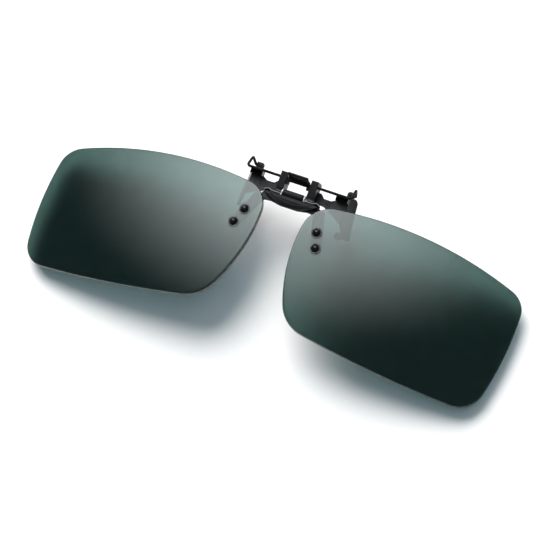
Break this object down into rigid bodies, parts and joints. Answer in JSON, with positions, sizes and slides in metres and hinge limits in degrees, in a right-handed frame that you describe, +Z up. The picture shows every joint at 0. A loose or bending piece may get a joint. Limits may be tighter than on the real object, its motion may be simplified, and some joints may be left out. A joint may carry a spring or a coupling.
{
  "type": "clip-on flip lenses",
  "caption": "Tinted clip-on sun lenses on a flip-up hinge bridge, with a spring claw clip that grips a pair of spectacles from the front.",
  "frame": {"origin": "centre of the flip hinge's pin, in the middle of the clip", "axes": "+X to the right seen from the front, along the hinge pin; -Y out of the front; +Y back to the wearer; +Z up along the clip plate"},
  "size_m": [0.133, 0.017, 0.0459],
  "materials": {
    "lens_tint": "polished green-grey polarised tint",
    "clear_plastic": "clear moulded",
    "claw_rubber": "soft matt",
    "spring_steel": "drawn",
    "gloss_black": "gloss black",
    "gunmetal": "satin black nickel",
    "black_plated": "dark plated"
  },
  "bodies": {
    "clip": {"clip_plate": "gunmetal", "detent_leaf": "spring_steel", "hinge_pin": "spring_steel", "left_guide_post": "spring_steel", "left_hinge_bracket": "black_plated", "left_lower_boot": "claw_rubber", "left_spring": "spring_steel", "right_guide_post": "spring_steel", "right_hinge_bracket": "black_plated", "right_lower_boot": "claw_rubber", "right_spring": "spring_steel"},
    "upper_claw": {"claw_wire": "black_plated", "left_block_cap": "black_plated", "left_slide_block": "black_plated", "left_upper_boot": "claw_rubber", "right_block_cap": "black_plated", "right_slide_block": "black_plated", "right_upper_boot": "claw_rubber", "thumb_bar": "black_plated"},
    "lens_unit": {"bridge_plate": "black_plated", "brow_crescent": "black_plated", "left_brow_rim": "gunmetal", "left_lens": "lens_tint", "left_lower_bush": "clear_plastic", "left_lower_rivet": "gloss_black", "left_lower_washer": "clear_plastic", "left_upper_bush": "clear_plastic", "left_upper_rivet": "gloss_black", "left_upper_washer": "clear_plastic", "right_brow_rim": "gunmetal", "right_lens": "lens_tint", "right_lower_bush": "clear_plastic", "right_lower_rivet": "gloss_black", "right_lower_washer": "clear_plastic", "right_upper_bush": "clear_plastic", "right_upper_rivet": "gloss_black", "right_upper_washer": "clear_plastic"}
  },
  "joints": [
    {"name": "flip", "type": "hinge", "parent": "clip", "child": "lens_unit", "pos_m": [0, 0, 0], "axis": [-1, 0, 0], "range_deg": [-15, 75]},
    {"name": "claw_slide", "type": "slide", "parent": "clip", "child": "upper_claw", "axis": [0, 0, 1], "range_m": [0, 0.003], "stiffness_N_per_m": 300, "springref_m": -0.001, "deforming": ["left_spring", "right_spring"]}
  ]
}
